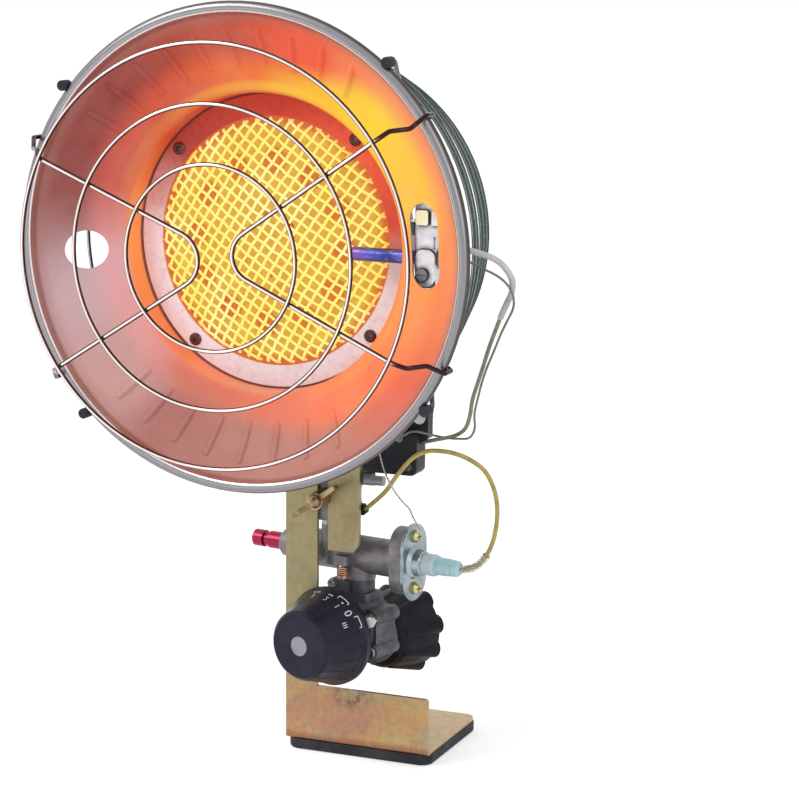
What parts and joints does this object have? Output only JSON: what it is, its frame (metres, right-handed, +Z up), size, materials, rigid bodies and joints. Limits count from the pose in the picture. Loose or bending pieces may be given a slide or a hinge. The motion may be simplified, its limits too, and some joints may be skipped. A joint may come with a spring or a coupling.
{
  "type": "tank-top propane heater",
  "caption": "Tank-top infrared propane heater: dished reflector with wire guards and glowing burner, safety valve, regulator with dial knob, tip-over switch and sliding foot bracket.",
  "frame": {"origin": "centre of the mouth of the coupling nut, where the tank valve's thread enters", "axes": "+Z up; -Y the way the reflector faces; +X to the right seen from the front. The tank connection's axis points back and lies 14.5 degrees off +Y towards +X"},
  "size_m": [0.2266, 0.1908, 0.3662],
  "materials": {
    "aluminised_sheet": "aluminised sheet, bright pressed finish, heat-hazed on the inside",
    "ring_steel": "stainless ring, pale lavender heat tint",
    "eyelet_steel": "hollow eyelets, dull",
    "burner_wire": "woven heat-resisting screen, glowing yellow-orange",
    "burner_plate": "inner screen, glowing orange-red",
    "can_steel": "heat-dulled steel can",
    "tube_steel": "satin grey steel tube",
    "chrome_wire": "bright chromed wire",
    "dark_wire": "dark green-grey enamelled wire",
    "black_rubber": "matte black rubber",
    "probe_steel": "steel sheath, blue and purple heat tint",
    "bracket_steel": "plain zinc-plated steel",
    "screw_zinc": "zinc-plated screws",
    "screw_brassy": "yellow-passivated Phillips screws",
    "screw_copper": "copper-washed screw",
    "fibre": "off-white fibre block",
    "switch_black": "black moulded plastic",
    "gold_steel": "yellow-chromated zinc with an iridescent bloom",
    "lug_steel": "blackened steel",
    "bolt_brass": "brown cast brass",
    "valve_cast": "dark grey enamelled die casting",
    "regulator_cast": "light grey die casting",
    "nozzle_brass": "turned brass",
    "flange_zinc": "bright zinc plate",
    "white_nylon": "white nylon",
    "blue_boot": "pale blue-green soft boot",
    "bushing_steel": "turned steel",
    "red_anodised": "red anodised aluminium",
    "spring_steel": "spring steel",
    "knob_black": "glossy black plastic with white printed dial marks",
    "knob_disc": "grey satin disc",
    "pointer_white": "white painted plate",
    "nut_black": "matte black lobed plastic",
    "seal_rubber": "nitrile seal",
    "sleeve_cream": "cream glass-fibre sleeve",
    "lead_olive": "olive lead",
    "lead_dark": "thin dark lead",
    "lead_yellow": "amber-yellow lead",
    "bare_wire": "bare twisted wire",
    "clear_sleeve": "clear shrunk sleeve"
  },
  "bodies": {
    "heater": {"reflector": "aluminised_sheet", "burner_ring": "ring_steel", "burner_rivets": "eyelet_steel", "burner_mesh": "burner_wire", "burner_screen": "burner_plate", "burner_plenum": "can_steel", "mixing_tube": "tube_steel", "guard_ring_outer": "chrome_wire", "guard_ring_middle": "chrome_wire", "guard_ring_inner": "chrome_wire", "guard_legs": "chrome_wire", "rear_rings": "dark_wire", "rear_spokes": "dark_wire", "rim_clips": "black_rubber", "thermocouple_probe": "probe_steel", "thermocouple_bracket": "bracket_steel", "thermocouple_screw": "lug_steel", "lead_grommet": "fibre", "lead_terminal": "black_rubber", "lead_tail": "clear_sleeve", "switch_case": "switch_black", "switch_cover": "switch_black", "switch_screws": "lug_steel", "switch_terminals": "lug_steel", "switch_bracket": "bracket_steel", "switch_bolt": "screw_zinc", "spacer_pin": "bushing_steel", "clamp_lug": "lug_steel", "valve_body": "valve_cast", "orifice_nozzle": "nozzle_brass", "valve_flange": "flange_zinc", "flange_screws": "screw_brassy", "magnet_unit": "flange_zinc", "connector_shell": "white_nylon", "connector_boot": "blue_boot", "button_bushing": "bushing_steel", "button_spring": "spring_steel", "spring_seat": "bushing_steel", "bleed_screw": "screw_copper", "regulator_body": "regulator_cast", "body_screws": "screw_zinc", "vent_screw": "screw_zinc", "index_plate": "pointer_white", "inlet_nipple": "nozzle_brass", "inlet_seal": "seal_rubber", "lead_sleeve": "sleeve_cream", "thermocouple_lead": "lead_olive", "thin_lead": "lead_dark", "control_lead": "lead_yellow", "ground_wire": "bare_wire"},
    "knob": {"knob": "knob_black", "knob_insert": "knob_disc", "knob_stem": "nozzle_brass"},
    "safety_button": {"safety_button": "red_anodised"},
    "coupling_nut": {"coupling_nut": "nut_black"},
    "foot_bracket": {"support_bracket": "gold_steel", "foot_pad": "black_rubber"},
    "wing_bolt": {"wing_bolt": "bolt_brass"}
  },
  "joints": [
    {"name": "knob_turn", "type": "hinge", "parent": "heater", "child": "knob", "pos_m": [-0.02141, -0.08278, 0.0082], "axis": [-0.2504, -0.9681, 0], "range_deg": [0, 240]},
    {"name": "safety_button_press", "type": "slide", "parent": "heater", "child": "safety_button", "axis": [0.9877, -0.1564, 0], "range_m": [0, 0.006], "stiffness_N_per_m": 1000, "springref_m": -0.003, "deforming": ["button_spring"]},
    {"name": "coupling_nut_turn", "type": "hinge", "parent": "heater", "child": "coupling_nut", "pos_m": [0, 0, 0], "axis": [0.2504, 0.9681, 0], "continuous": true},
    {"name": "foot_slide", "type": "slide", "parent": "heater", "child": "foot_bracket", "axis": [0, 0, 1], "range_m": [-0.01, 0.008]},
    {"name": "wing_bolt_turn", "type": "hinge", "parent": "heater", "child": "wing_bolt", "pos_m": [-0.02327, -0.05183, 0.0737], "axis": [0, 1, 0], "continuous": true}
  ]
}
